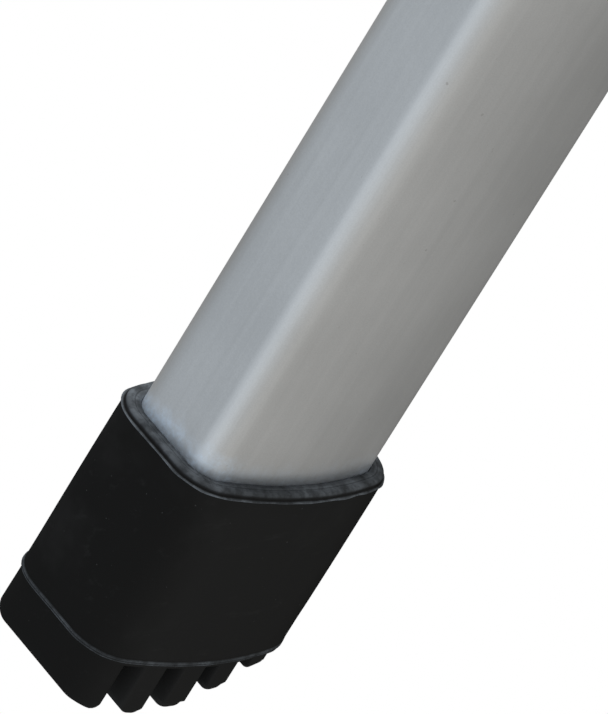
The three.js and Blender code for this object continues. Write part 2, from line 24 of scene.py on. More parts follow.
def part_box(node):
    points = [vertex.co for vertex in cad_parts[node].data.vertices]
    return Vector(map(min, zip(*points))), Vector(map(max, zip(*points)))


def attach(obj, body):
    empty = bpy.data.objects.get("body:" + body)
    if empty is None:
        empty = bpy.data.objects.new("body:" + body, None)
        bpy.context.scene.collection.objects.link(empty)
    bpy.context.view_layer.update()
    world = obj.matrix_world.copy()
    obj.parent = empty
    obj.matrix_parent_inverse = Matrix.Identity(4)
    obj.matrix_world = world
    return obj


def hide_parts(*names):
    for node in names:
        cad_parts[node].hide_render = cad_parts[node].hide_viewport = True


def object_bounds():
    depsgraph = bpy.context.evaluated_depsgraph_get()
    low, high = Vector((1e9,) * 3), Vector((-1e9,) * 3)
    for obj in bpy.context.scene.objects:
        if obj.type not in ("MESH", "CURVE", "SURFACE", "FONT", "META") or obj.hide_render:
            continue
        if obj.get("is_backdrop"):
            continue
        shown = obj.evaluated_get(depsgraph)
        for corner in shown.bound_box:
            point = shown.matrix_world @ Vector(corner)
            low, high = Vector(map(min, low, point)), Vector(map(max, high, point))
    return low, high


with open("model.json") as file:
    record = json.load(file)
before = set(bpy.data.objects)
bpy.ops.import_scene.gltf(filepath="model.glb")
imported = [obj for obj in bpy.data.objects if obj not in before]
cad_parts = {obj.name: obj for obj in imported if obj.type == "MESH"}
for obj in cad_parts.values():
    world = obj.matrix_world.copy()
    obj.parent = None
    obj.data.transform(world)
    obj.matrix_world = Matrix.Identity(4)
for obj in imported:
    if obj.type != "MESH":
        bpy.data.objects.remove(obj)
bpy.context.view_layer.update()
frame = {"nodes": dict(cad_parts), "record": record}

MM = 0.001
SLEEVE = 37.8 * MM  # how far the foot's sleeve reaches up the arm
SOLE_DEPTH = 11.7 * MM  # from the sole's edge down to the tread mount
TREAD_WIDTH = -11.25 * MM  # the tread mount's place along the tube's width
UPWARD = np.array([0.0, 0.0, 1.0])
UP_THE_LADDER = np.array([0.0, 1.0, 0.0])
TINY = 1e-9  # keeps a division clear of zero
COINCIDENT = 1e-7  # points of a new surface closer than this are one
WELD = 0.002 * MM  # points of a CAD mesh closer than this are one
FLAT_DEGREES = 1.0  # faces that meet at less than this are one face
SOFT_DEGREES = 32.0  # edges of a CAD piece sharper than this stay sharp
EASED_DEGREES = 40.0  # edges of a CAD piece sharper than this are eased
LOG = logging.getLogger("stabiliser")

Array = np.ndarray
Colour = tuple[float, float, float, float]


def grey(level: float, warmth: float = 0.0) -> Colour:
    """Return a near-neutral colour whose red is raised and blue lowered by its warmth."""
    return (level * (1 + warmth), level, level * (1 - warmth), 1.0)


# ---- Shader graphs ----


class Value:
    """A float socket that can be used in Python arithmetic; each operator adds one Math node."""

    def __init__(self, graph: "Graph", socket: bpy.types.NodeSocket) -> None:
        """Wrap a socket.

        Args:
            graph: The graph that the socket's node is in.
            socket: The output that holds the value.
        """
        self.graph = graph
        self.socket = socket

    def __add__(self, other: "Value | float") -> "Value":
        """Return self + other."""
        return self.graph.math("ADD", self, other)

    __radd__ = __add__

    def __mul__(self, other: "Value | float") -> "Value":
        """Return self * other."""
        return self.graph.math("MULTIPLY", self, other)

    __rmul__ = __mul__

    def __sub__(self, other: "Value | float") -> "Value":
        """Return self - other."""
        return self.graph.math("SUBTRACT", self, other)

    def __rsub__(self, other: "Value | float") -> "Value":
        """Return other - self."""
        return self.graph.math("SUBTRACT", other, self)

    def __pow__(self, other: "Value | float") -> "Value":
        """Return self to the power other."""
        return self.graph.math("POWER", self, other)

    def clipped(self, low: float, high: float) -> "Value":
        """Return a smooth step that is 0 below low and 1 above high."""
        node = self.graph.node(
            "ShaderNodeMapRange",
            {"interpolation_type": "SMOOTHSTEP"},
            {"Value": self, "From Min": low, "From Max": high},
        )
        return Value(self.graph, node.outputs["Result"])


Link = Any  # a number, a tuple, a Value or a node socket


@dataclass(frozen=True)
class Grain:
    """A noise's character.

    Attributes:
        scale: Its features per metre.
        detail: How many finer layers it has.
        rough: How strong each finer layer is next to the one before, from 0 to 1.
    """

    scale: float
    detail: float = 2.0
    rough: float = 0.5


class Graph:
    """The nodes of one material or world, added through one method."""

    def __init__(self, tree: bpy.types.NodeTree) -> None:
        """Empty the tree and keep it.

        Args:
            tree: The node tree to fill.
        """
        self.tree = tree
        tree.nodes.clear()

    def node(
        self,
        kind: str,
        settings: Mapping[str, Any] | None = None,
        inputs: Mapping[str | int, Link] | None = None,
    ) -> bpy.types.Node:
        """Add a node, set its options, then fill or link its sockets.

        Args:
            kind: The node's type.
            settings: Its properties.
            inputs: Its sockets by name or number.

        Returns:
            The new node.
        """
        node = self.tree.nodes.new(kind)
        for key, value in (settings or {}).items():
            setattr(node, key, value)
        for key, value in (inputs or {}).items():
            self.feed(node.inputs[key], value)
        return node

    def feed(self, socket: bpy.types.NodeSocket, value: Link) -> None:
        """Link a value or another node's socket to a socket, or set it to a constant."""
        if isinstance(value, Value):
            self.tree.links.new(value.socket, socket)
        elif isinstance(value, bpy.types.NodeSocket):
            self.tree.links.new(value, socket)
        else:
            socket.default_value = value

    def math(self, operation: str, a: Link, b: Link = 0.0) -> Value:
        """Return the result of a Math node on two values."""
        node = self.node("ShaderNodeMath", {"operation": operation}, {0: a, 1: b})
        return Value(self, node.outputs[0])

    def part(self, vector: Link, axis: int) -> Value:
        """Return one of a vector's three parts, numbered from 0."""
        return Value(self, self.node("ShaderNodeSeparateXYZ", {}, {0: vector}).outputs[axis])

    def noise(self, where: Link, grain: Grain) -> Value:
        """Return a noise value from 0 to 1 over a vector."""
        inputs = {
            "Vector": where,
            "Scale": grain.scale,
            "Detail": grain.detail,
            "Roughness": grain.rough,
        }
        return Value(self, self.node("ShaderNodeTexNoise", {}, inputs).outputs[0])

    def stretched(self, where: Link, scale: tuple[float, float, float]) -> Link:
        """Return a vector scaled along each of its axes."""
        return self.node("ShaderNodeMapping", {}, {"Vector": where, "Scale": scale}).outputs[0]

    def mix(self, amount: Link, first: Link, second: Link) -> Link:
        """Return a colour between two, by an amount from 0 to 1."""
        node = self.node("ShaderNodeMix", {"data_type": "RGBA"}, {0: amount, 6: first, 7: second})
        return node.outputs[2]

    def bump(self, height: Link, strength: float, distance: float) -> Link:
        """Return the normal that a height in metres gives."""
        inputs = {"Height": height, "Strength": strength, "Distance": distance}
        return self.node("ShaderNodeBump", {}, inputs).outputs[0]


class Along(Enum):
    """The way a drawn or rolled finish runs."""

    X = (0.04, 1.0, 1.0)
    Y = (1.0, 0.04, 1.0)
    PATH = (1.0, 0.02, 1.0)


@dataclass(frozen=True)
class Finish:
    """A procedural finish; each kind fills in its own graph."""

    name: str

    def material(self) -> bpy.types.Material:
        """Return the finish as a new material."""
        material = bpy.data.materials.new(self.name)
        material.use_nodes = True
        graph = Graph(material.node_tree)
        shader = graph.node("ShaderNodeBsdfPrincipled")
        self.fill(graph, shader)
        graph.node("ShaderNodeOutputMaterial", {}, {"Surface": shader.outputs[0]})
        return material

    def fill(self, graph: Graph, shader: bpy.types.Node) -> None:
        """Set the shader's sockets. Each kind of finish has its own version."""
        raise NotImplementedError

    @staticmethod
    def place(graph: Graph) -> Link:
        """Return the object's own coordinates."""
        return graph.node("ShaderNodeTexCoord").outputs["Object"]

    @staticmethod
    def off_middle(graph: Graph, near: float, far: float) -> Value:
        """Return a smooth step over the distance from the plane Y = 0: 0 at near and 1 at far."""
        across = graph.part(Finish.place(graph), 1)
        return (across * across).clipped(near**2, far**2)

    @staticmethod
    def join(graph: Graph, shader: bpy.types.Node, **sockets: Link) -> None:
        """Link or set the shader's sockets; an underscore in a name stands for a space."""
        for key, value in sockets.items():
            graph.feed(shader.inputs[key.replace("_", " ")], value)


@dataclass(frozen=True)
class DrawnAluminium(Finish):
    """Extruded aluminium with a satin skin: fine lines run along it, with small dark nicks.

    Attributes:
        run: The direction of the die lines.
        pale: The palest metal.
        dark: The darkest metal.
        nick: The colour of the nicks.
        bloom_and_painted_light: The colour of the pale bluish deposit just above the foot, made
            paler than the deposit itself: painted light over the shade that the foot's mouth casts
            on the tube.
        fleck: The colour of the dust caught in the deposit.
        stain_and_light_reach: The distance along the path up to which the deposit and its painted
            light are whole, or 0 for none.
        fade: How far past that they are gone.
        metal: The clean metal's Metallic value.
    """

    run: Along = Along.PATH
    pale: Colour = grey(0.560)
    dark: Colour = grey(0.456)
    nick: Colour = grey(0.28, 0.04)
    # A pale bluish deposit, painted paler than it is to stand for light over the shade by the
    # foot's mouth.
    bloom_and_painted_light: Colour = (0.69, 0.81, 0.96, 1.0)
    fleck: Colour = grey(0.95)
    stain_and_light_reach: float = 0.0
    fade: tuple[float, float] = (2.0 * MM, 10.0 * MM)
    metal: float = 0.92
    clouds: Grain = Grain(26.0, 4.0, 0.6)
    lines: Grain = Grain(1900.0, 2.0, 0.6)
    bands: Grain = Grain(330.0)
    skin: Grain = Grain(4200.0, 2.0, 0.6)
    nicks: Grain = Grain(980.0, 0.0)
    ragged: Grain = Grain(210.0, 4.0, 0.7)
    film_and_painted_light: Grain = Grain(1500.0)
    flecks: Grain = Grain(1900.0, 0.0)

    def fill(self, graph: Graph, shader: bpy.types.Node) -> None:
        """Build cloudy greys, die lines, nicks, and the deposit by the foot with its painted light.
        """
        place = self.place(graph)
        along = place
        if self.run is Along.PATH:
            along = graph.node("ShaderNodeUVMap", {"uv_map": "Path"}).outputs[0]
        streak = graph.stretched(along, self.run.value)
        clouds = graph.noise(place, self.clouds)
        lines = graph.noise(streak, self.lines)
        bands = graph.noise(streak, self.bands)
        skin = graph.noise(place, self.skin)
        tone = 0.38 * clouds + 0.12 * lines + 0.20 * bands + 0.30 * skin
        colour = graph.mix(tone.clipped(0.32, 0.68), self.dark, self.pale)
        nicks = graph.noise(place, self.nicks).clipped(0.85, 0.91) * clouds
        colour = graph.mix(nicks, colour, self.nick)
        metallic: Link = self.metal
        if self.stain_and_light_reach:
            cover = self._cover(graph, place, along)
            # Painted light by the foot: the deposit is paler and less metallic than the real one,
            # to lift the shade that the mouth casts.
            film_and_painted_light = cover * (0.70 + 0.30 * graph.noise(place, self.film_and_painted_light).clipped(0.40, 0.66))
            colour = graph.mix(film_and_painted_light, colour, self.bloom_and_painted_light)
            flecks = graph.noise(place, self.flecks).clipped(0.82, 0.87) * cover
            colour = graph.mix(flecks, colour, self.fleck)
            metallic = self.metal - 0.80 * film_and_painted_light
        self.join(
            graph,
            shader,
            Base_Color=colour,
            Metallic=metallic,
            Roughness=0.33 + 0.10 * clouds + 0.06 * lines,
            Normal=graph.bump(0.35 * lines + 0.45 * skin + 0.6 * bands, 0.22, 0.05 * MM),
        )

    def _cover(self, graph: Graph, place: Link, along: Link) -> Value:
        """Return how far the deposit and its painted light cover the metal, from 0 to 1.

        It ends in a ragged line a little way above the foot, and is thinner on the wide faces.

        Args:
            graph: The finish's graph.
            place: The object's own coordinates.
            along: The unrolled coordinates, whose second part runs up the tube.
        """
        ragged = graph.part(along, 1) + 9.0 * MM * graph.noise(place, self.ragged)
        whole, gone = (self.stain_and_light_reach + distance for distance in self.fade)
        narrow = self.off_middle(graph, 13.0 * MM, 19.0 * MM)
        return (1.0 - ragged.clipped(whole, gone)) * (0.45 + 0.55 * narrow)


@dataclass(frozen=True)
class MouldedRubber(Finish):
    """Satin black rubber with a fine grain, soft scuffs and a few specks of dust.

    Attributes:
        black: Clean rubber.
        rubbed: Scuffed rubber.
        edge: Painted highlight on the mould's flash and the mouth's ridges, with a little rubbing.
        dust: The specks.
        scuff_run: The scuffs' scale on each axis; they run along Y.
    """

    black: Colour = grey(0.0130, 0.02)
    rubbed: Colour = grey(0.0330)
    # Pale bluish rubber on the flash and ridges: a painted highlight, with a little rubbing.
    edge: Colour = (0.250, 0.276, 0.310, 1.0)
    dust: Colour = grey(0.10)
    clouds: Grain = Grain(55.0, 4.0, 0.6)
    scuffs: Grain = Grain(260.0, 4.0, 0.7)
    skin: Grain = Grain(3600.0)
    breaks: Grain = Grain(420.0, 3.0, 0.7)
    specks: Grain = Grain(2100.0, 0.0)
    scuff_run: tuple[float, float, float] = (1.0, 0.35, 1.6)

    def fill(self, graph: Graph, shader: bpy.types.Node) -> None:
        """Build the scuffs, the dust, the mould's grain and the painted highlight on the edges.

        The feet's wide faces, near the plane Y = 0, are the most rubbed. The mesh's own "edge"
        attribute says where the rubber is painted paler, from 0 to 1: a painted highlight on the
        flash and the mouth's ridges, with a little rubbing.
        """
        place = self.place(graph)
        clouds = graph.noise(place, self.clouds)
        scuffs = graph.noise(graph.stretched(place, self.scuff_run), self.scuffs)
        skin = graph.noise(place, self.skin)
        wide = 1.0 - self.off_middle(graph, 13.0 * MM, 26.0 * MM)
        worn = 0.3 * clouds.clipped(0.48, 0.78) + 0.3 * scuffs.clipped(0.58, 0.80) + 0.5 * wide
        colour = graph.mix(worn, self.black, self.rubbed)
        # The "edge" attribute paints the flash and ridges paler, patchily: a painted highlight,
        # with a little rubbing.
        edge = graph.node("ShaderNodeAttribute", {"attribute_name": "edge"}).outputs["Fac"]
        broken = 0.50 + 0.50 * graph.noise(place, self.breaks).clipped(0.36, 0.62)
        broken = broken * (0.60 + 0.40 * clouds.clipped(0.38, 0.58))
        colour = graph.mix(Value(graph, edge) * broken, colour, self.edge)
        specks = graph.noise(place, self.specks).clipped(0.86, 0.92) * clouds
        colour = graph.mix(specks, colour, self.dust)
        self.join(
            graph,
            shader,
            Base_Color=colour,
            Roughness=0.48 + 0.16 * worn + 0.06 * skin,
            Specular_IOR_Level=0.0,
            Normal=graph.bump(0.5 * skin + 0.5 * scuffs, 0.30, 0.08 * MM),
        )


@dataclass(frozen=True)
class ZincPlate(Finish):
    """Bright zinc on steel, with a faint spangle and duller patches."""

    bright: Colour = grey(0.62, 0.02)
    dull: Colour = grey(0.40, 0.03)
    patches: Grain = Grain(120.0, 3.0)
    spangle: Grain = Grain(1500.0, 1.0)

    def fill(self, graph: Graph, shader: bpy.types.Node) -> None:
        """Build the spangle and the patches."""
        place = self.place(graph)
        patches = graph.noise(place, self.patches)
        spangle = graph.noise(place, self.spangle)
        tone = (0.6 * patches + 0.4 * spangle).clipped(0.30, 0.68)
        self.join(
            graph,
            shader,
            Base_Color=graph.mix(tone, self.dull, self.bright),
            Metallic=1.0,
            Roughness=0.24 + 0.20 * patches,
            Normal=graph.bump(spangle, 0.25, 0.05 * MM),
        )


@dataclass(frozen=True)
class PowderCoat(Finish):
    """Fine black powder coat with an orange-peel skin, rubbed a little in places."""

    black: Colour = grey(0.018)
    rubbed: Colour = grey(0.060)
    peel: Grain = Grain(1400.0, 1.0)
    wear: Grain = Grain(90.0, 5.0, 0.7)

    def fill(self, graph: Graph, shader: bpy.types.Node) -> None:
        """Build the peel and the rubbed patches."""
        place = self.place(graph)
        peel = graph.noise(place, self.peel)
        wear = graph.noise(place, self.wear).clipped(0.56, 0.72)
        self.join(
            graph,
            shader,
            Base_Color=graph.mix(wear * 0.7, self.black, self.rubbed),
            Roughness=0.36 + 0.18 * wear,
            Normal=graph.bump(peel, 0.45, 0.10 * MM),
        )


@dataclass(frozen=True)
class CastMetal(Finish):
    """Cast aluminium with a sandy skin."""

    pale: Colour = grey(0.46)
    dark: Colour = grey(0.30)
    skin: Grain = Grain(900.0, 4.0, 0.7)
    clouds: Grain = Grain(60.0)

    def fill(self, graph: Graph, shader: bpy.types.Node) -> None:
        """Build the casting's skin."""
        place = self.place(graph)
        skin = graph.noise(place, self.skin)
        clouds = graph.noise(place, self.clouds)
        tone = (0.5 * skin + 0.5 * clouds).clipped(0.3, 0.7)
        self.join(
            graph,
            shader,
            Base_Color=graph.mix(tone, self.dark, self.pale),
            Metallic=0.85,
            Roughness=0.50 + 0.15 * skin,
            Normal=graph.bump(skin, 0.55, 0.20 * MM),
        )


@dataclass(frozen=True)
class Nylon(Finish):
    """Black nylon with a waxy skin and slight mottling."""

    black: Colour = grey(0.022)
    mottle: Colour = grey(0.040)
    mottling: Grain = Grain(300.0, 3.0)

    def fill(self, graph: Graph, shader: bpy.types.Node) -> None:
        """Build the mottling."""
        place = self.place(graph)
        mottle = graph.noise(place, self.mottling)
        self.join(
            graph,
            shader,
            Base_Color=graph.mix(mottle.clipped(0.35, 0.65), self.black, self.mottle),
            Roughness=0.42 + 0.12 * mottle,
            Normal=graph.bump(mottle, 0.2, 0.05 * MM),
        )


# ---- Surfaces ----


@dataclass
class Surface:
    """A closed surface gathered from grids and fans of points, in metres."""

    points: list[Array] = field(default_factory=list)
    edges: list[Array] = field(default_factory=list)
    quads: list[Array] = field(default_factory=list)
    triangles: list[Array] = field(default_factory=list)
    count: int = 0

    def add_points(self, points: Array, edge: Array | float = 0.0) -> Array:
        """Add points of shape (..., 3).

        Args:
            points: The points.
            edge: How much painted highlight, with a little rubbing, the surface gets at each, from
                0 to 1.

        Returns:
            Their numbers, in the points' own shape.
        """
        flat = points.reshape(-1, 3)
        numbers = self.count + np.arange(len(flat))
        self.points.append(flat)
        self.edges.append(np.broadcast_to(edge, points.shape[:-1]).ravel())
        self.count += len(flat)
        return numbers.reshape(points.shape[:-1])

    def add_grid(self, numbers: Array, ring_rows: bool = False, ring_columns: bool = True) -> None:
        """Add the quads between neighbouring rows and columns of numbered points.

        Args:
            numbers: Point numbers by row and column.
            ring_rows: Whether the last row meets the first.
            ring_columns: Whether the last column meets the first.
        """
        rows = np.vstack([numbers, numbers[:1]]) if ring_rows else numbers
        grid = np.hstack([rows, rows[:, :1]]) if ring_columns else rows
        corners = (grid[:-1, :-1], grid[:-1, 1:], grid[1:, 1:], grid[1:, :-1])
        self.quads.append(np.stack(corners, axis=-1).reshape(-1, 4))

    def add_fan(self, ring: Array, centre: Array) -> None:
        """Close a ring of numbered points with triangles to a new centre point."""
        middle = self.add_points(centre.reshape(1, 3))[0]
        fan = np.stack([ring, np.roll(ring, -1), np.full(len(ring), middle)], axis=-1)
        self.triangles.append(fan)

    def build(self, name: str, smooth_degrees: float) -> bpy.types.Object:
        """Make the mesh object, with its faces turned outwards.

        Args:
            name: The piece's name.
            smooth_degrees: Edges sharper than this stay sharp.

        Returns:
            The object, at the origin.
        """
        faces = [row for block in (*self.quads, *self.triangles) for row in block.tolist()]
        mesh = bpy.data.meshes.new(name)
        mesh.from_pydata(np.vstack(self.points).tolist(), [], faces)
        # The "edge" attribute marks where the rubber gets its painted highlight.
        layer = mesh.attributes.new("edge", "FLOAT", "POINT")
        layer.data.foreach_set("value", np.concatenate(self.edges).astype(np.float32))
        shell = bmesh.new()
        shell.from_mesh(mesh)
        bmesh.ops.remove_doubles(shell, verts=shell.verts, dist=COINCIDENT)
        bmesh.ops.recalc_face_normals(shell, faces=shell.faces)
        shell.to_mesh(mesh)
        shell.free()
        return finished(name, mesh, smooth_degrees)


def in_scene(name: str, data: bpy.types.ID) -> bpy.types.Object:
    """Return a new object for a mesh or a camera, put in the scene at the origin."""
    thing = bpy.data.objects.new(name, data)
    bpy.context.scene.collection.objects.link(thing)
    return thing


def finished(name: str, mesh: bpy.types.Mesh, smooth_degrees: float) -> bpy.types.Object:
    """Smooth a mesh up to an angle and put it in the scene as an object at the origin."""
    mesh.shade_smooth()
    mesh.set_sharp_from_angle(angle=math.radians(smooth_degrees))
    return in_scene(name, mesh)


def dress(piece: bpy.types.Object, finish: Finish, slot: str, body: str, *nodes: str) -> None:
    """Give a new piece its finish and tie it to its body.

    Args:
        piece: The new piece.
        finish: Its finish.
        slot: The record's material slot that it stands for; not used.
        body: The body that it moves with.
        *nodes: The CAD nodes that it replaces.
    """
    piece.data.materials.clear()
    piece.data.materials.append(finish.material())
    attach(piece, body)
    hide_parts(*nodes)
    LOG.info("%s: %d faces", piece.name, len(piece.data.polygons))


def smooth_step(value: Array, low: float, high: float) -> Array:
    """Return 3t^2 - 2t^3, where t goes from 0 at low to 1 at high."""
    t = np.clip((value - low) / (high - low), 0.0, 1.0)
    return t * t * (3.0 - 2.0 * t)


def evenly(path: Array, count: int) -> Array:
    """Return points spaced evenly along a path of points of shape (n, 2)."""
    step = np.linalg.norm(np.diff(path, axis=0), axis=1)
    length = np.concatenate([[0.0], np.cumsum(step)])
    even = np.linspace(0.0, length[-1], count)
    return np.stack([np.interp(even, length, path[:, k]) for k in range(2)], axis=-1)


def ripple(angle: Array, seed: int, waves: int = 9) -> Array:
    """Return a smooth uneven value, between about -1 and 1, that closes on itself over a turn.

    It is twice the mean of sine waves, weighted by their sizes. Their whole-number frequencies,
    their sizes and their phases are drawn from a seeded generator.

    Args:
        angle: The angles, in radians.
        seed: The generator's seed.
        waves: How many waves there are.

    Returns:
        The value at each angle.
    """
    rng = np.random.default_rng(seed)
    frequency = rng.integers(2, 30, waves)[:, None]
    phase = rng.uniform(0.0, 2.0 * np.pi, waves)[:, None]
    size = rng.uniform(0.4, 1.0, waves)[:, None]
    return 2.0 * (size * np.sin(frequency * angle.reshape(1, -1) + phase)).sum(0) / size.sum()


@dataclass(frozen=True)
class Section:
    """The tube's section: two narrow flat faces, two wide crowned faces and round corners.

    Points are (across the thickness, along the width).
    """

    wide: float = 44.5 * MM
    thick: float = 26.0 * MM
    crown: float = 1.95 * MM
    corner: float = 5.4 * MM
    wall: float = 1.8 * MM
    corner_steps: int = 12
    crown_steps: int = 16
    flat_steps: int = 4

    def outline(self, offset: float = 0.0) -> Array:
        """Return the closed outline, grown outwards by an offset.

        A quarter is a flat half, a corner arc and half of the crown's arc. Each arc keeps its
        centre and its radius grows by the offset. The other quarters are its mirror images, so
        every offset gives the same number of points, at the same normals.

        Returns:
            Points of shape (n, 2), starting in the middle of the +width face.
        """
        core_wide = self.wide / 2 - self.corner
        core_thick = self.thick / 2 - self.corner
        crown_radius = (core_wide**2 + self.crown**2) / (2 * self.crown)
        crown_angle = math.asin(core_wide / crown_radius)
        radius = self.corner + offset
        edge = core_thick - self.crown
        flat = np.linspace(0.0, edge, self.flat_steps, endpoint=False)
        flat_points = np.stack([flat, np.full_like(flat, core_wide + radius)], axis=-1)
        turn = np.linspace(np.pi / 2, crown_angle, self.corner_steps, endpoint=False)
        corner_points = np.stack(
            [edge + radius * np.cos(turn), core_wide + radius * np.sin(turn)], axis=-1
        )
        bow = np.linspace(crown_angle, 0.0, self.crown_steps, endpoint=False)
        crown_points = np.stack(
            [
                core_thick - crown_radius + (crown_radius + radius) * np.cos(bow),
                (crown_radius + radius) * np.sin(bow),
            ],
            axis=-1,
        )
        apex = np.array([[core_thick + radius, 0.0]])
        quarter = np.vstack([flat_points, corner_points, crown_points, apex])
        half = np.vstack([quarter, quarter[-2::-1] * (1.0, -1.0)])
        return np.vstack([half, half[-2:0:-1] * (-1.0, 1.0)])

    def reach(self, width: Array, offset: float) -> Array:
        """Return how far the outline stands from the middle plane at places along the width.

        Args:
            width: The places along the width.
            offset: How far the outline is grown.
        """
        outline = self.outline(offset)
        half = outline[: len(outline) // 2 + 1]
        return np.interp(-width, -half[:, 1], half[:, 0])


@dataclass(frozen=True)
class FootFrame:
    """The axes of one foot, and where its sole begins.

    Attributes:
        origin: Where the arm's centre line meets the sole's edge.
        across: Across the tube's thickness, inwards and down.
        along: Up the ladder.
        up: Up the arm.
    """

    origin: Array
    across: Array
    along: Array
    up: Array

    @classmethod
    def of(cls, side: str) -> "FootFrame":
        """Work the left or right foot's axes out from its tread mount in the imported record."""
        mounts = {mount["name"]: mount for mount in frame["record"]["mounts"]}
        tread = mounts[f"{side}_foot_tread"]
        up = -np.array(tread["axis"], float)
        up /= np.linalg.norm(up)
        along = UP_THE_LADDER
        origin = np.array(tread["pos_m"]) + up * SOLE_DEPTH - along * TREAD_WIDTH
        inward = np.array([-math.copysign(1.0, origin[0]), 0.0, 0.0])
        across = inward * up[2] - UPWARD * abs(up[0])
        return cls(origin, across, along, up)

    def place(self, across: Array, along: Array, height: Array) -> Array:
        """Return points of shape (..., 3) from their three distances in the foot's axes."""
        parts = np.broadcast_arrays(across, along, height)
        axes = (self.across, self.along, self.up)
        return self.origin + sum(part[..., None] * axis for part, axis in zip(parts, axes))


# ---- The tube frame ----


@dataclass
class ArmTube:
    """One bent tube: up the arm from the foot, round the bend and along half of the crossbar.

    Attributes:
        side: "left" or "right".
        foot: Its foot's axes.
        section: Its section.
        start: How far above the sole's edge it begins.
        bend_radius: The radius of the bend's centre line.
        bend_steps: How many stations the bend has.
        straight_steps: How many stations each straight has.
        joint_gap: How far from the middle plane it stops.
        smooth_degrees: Edges sharper than this stay sharp.
        map_steps: How many places along the centre line the map is measured from.
        map_turn: How much the way round counts the distance from the centre line.
    """

    side: str
    foot: FootFrame
    section: Section
    start: float = 3.3 * MM
    bend_radius: float = 100.0 * MM
    bend_steps: int = 56
    straight_steps: int = 6
    joint_gap: float = 0.3 * MM
    smooth_degrees: float = 40.0
    map_steps: int = 1500
    map_turn: float = 1.7

    def centre_line(self) -> tuple[Array, Array]:
        """Return the centre line's points and headings.

        The arm's line rises until it would meet the crossbar's line. The bend is the arc that
        touches both, so it starts and ends at its radius times the tangent of half its angle
        from their meeting point.
        """
        low, high = (np.array(corner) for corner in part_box("centre_splice"))
        height = (low[2] + high[2]) / 2
        inward = np.array([math.copysign(1.0, -self.foot.origin[0]), 0.0, 0.0])
        rise = (height - self.foot.origin[2]) / self.foot.up[2]
        meeting = self.foot.origin + rise * self.foot.up
        lean = math.acos(self.foot.up[2])
        angle = math.pi / 2 - lean
        tangent = self.bend_radius * math.tan(angle / 2)
        heading = np.linspace(lean, math.pi / 2, self.bend_steps)
        centre = meeting + tangent * inward - self.bend_radius * UPWARD
        bend = centre + self.bend_radius * (
            np.sin(heading)[:, None] * UPWARD - np.cos(heading)[:, None] * inward
        )
        first = self.foot.origin + self.start * self.foot.up
        last = np.array([-inward[0] * self.joint_gap, 0.0, height])
        blend = np.linspace(0.0, 1.0, self.straight_steps, endpoint=False)[:, None]
        arm = first + blend * (bend[0] - first)
        bar = bend[-1] + blend[1:] * (last - bend[-1])
        line = np.vstack([arm, bend, bar, last[None]])
        level = np.full(len(bar) + 1, math.pi / 2)
        turns = np.concatenate([np.full(len(arm), lean), heading, level])[:, None]
        headings = np.sin(turns) * inward + np.cos(turns) * UPWARD
        return line, headings

    def build(self) -> None:
        """Sweep the section and its bore along the centre line, as one closed skin.

        A point is the line's point, plus the outline's first part across the bend's plane
        normal, plus its second part along the ladder. The outer skin's rows run from the foot to
        the middle and the bore's run back, so the grid closes on itself.
        """
        line, headings = self.centre_line()
        along = self.foot.along
        across = np.cross(along, headings)
        outer = self.section.outline()
        inner = self.section.outline(-self.section.wall)

        def skin(outline: Array) -> Array:
            """Return the skin's points by station and by place round the outline."""
            return (
                line[:, None]
                + outline[None, :, :1] * across[:, None]
                + outline[None, :, 1:] * along
            )

        rows = np.concatenate([skin(outer), skin(inner)[::-1]])
        surface = Surface()
        surface.add_grid(surface.add_points(rows), ring_rows=True)
        piece = surface.build(f"{self.side}_arm_tube", self.smooth_degrees)
        self._unroll(piece, line)
        # Above the foot the tube gets a pale deposit, painted paler as painted light over the
        # mouth's shade.
        finish = DrawnAluminium("arm_aluminium", stain_and_light_reach=SLEEVE - self.start)
        dress(piece, finish, "tube", "frame", f"{self.side}_arm")

    def _unroll(self, piece: bpy.types.Object, line: Array) -> None:
        """Map the tube: the first coordinate is the way round it and the second the way along.

        The way along is the length of the centre line up to the nearest station, plus the
        distance past it along the heading. The way round is the place along the ladder, plus the
        distance across the thickness, which tells the two wide faces apart.
        """
        mesh = piece.data
        where = np.empty(len(mesh.vertices) * 3)
        mesh.vertices.foreach_get("co", where)
        where = where.reshape(-1, 3)
        steps = np.linalg.norm(np.diff(line, axis=0), axis=1)
        travelled = np.concatenate([[0.0], np.cumsum(steps)])
        dense = np.linspace(0.0, travelled[-1], self.map_steps)
        path = np.stack([np.interp(dense, travelled, line[:, k]) for k in range(3)], axis=-1)
        flat = where[:, None, ::2] - path[None, :, ::2]
        nearest = np.argmin((flat**2).sum(-1), axis=1)
        heading = np.gradient(path, axis=0)
        heading /= np.linalg.norm(heading, axis=1)[:, None]
        off = where - path[nearest]
        run = dense[nearest] + (off * heading[nearest]).sum(-1)
        away = (off * np.cross(self.foot.along, heading[nearest])).sum(-1)
        loop_vertex = np.empty(len(mesh.loops), int)
        mesh.loops.foreach_get("vertex_index", loop_vertex)
        layer = mesh.uv_layers.new(name="Path")
        unrolled = np.stack([where[:, 1] + self.map_turn * away, run], axis=-1)
        layer.data.foreach_set("uv", unrolled[loop_vertex].ravel())


# ---- The rubber feet ----


@dataclass(frozen=True)
class Rib:
    """One rib of the sole, in millimetres along the tube's width.

    Attributes:
        start: Its edge nearer the ladder's base.
        end: Its edge nearer the ladder's top.
        start_depth: How far it reaches below the sole's edge at its start.
        end_depth: The same at its end.
        round: The radius of its two long lower edges.
        tip: The radius of its lower edge at the inward end.
        swell: How far its start leans out at the bottom.
    """

    start: float
    end: float
    start_depth: float
    end_depth: float
    round: float
    tip: float
    swell: float = 0.0


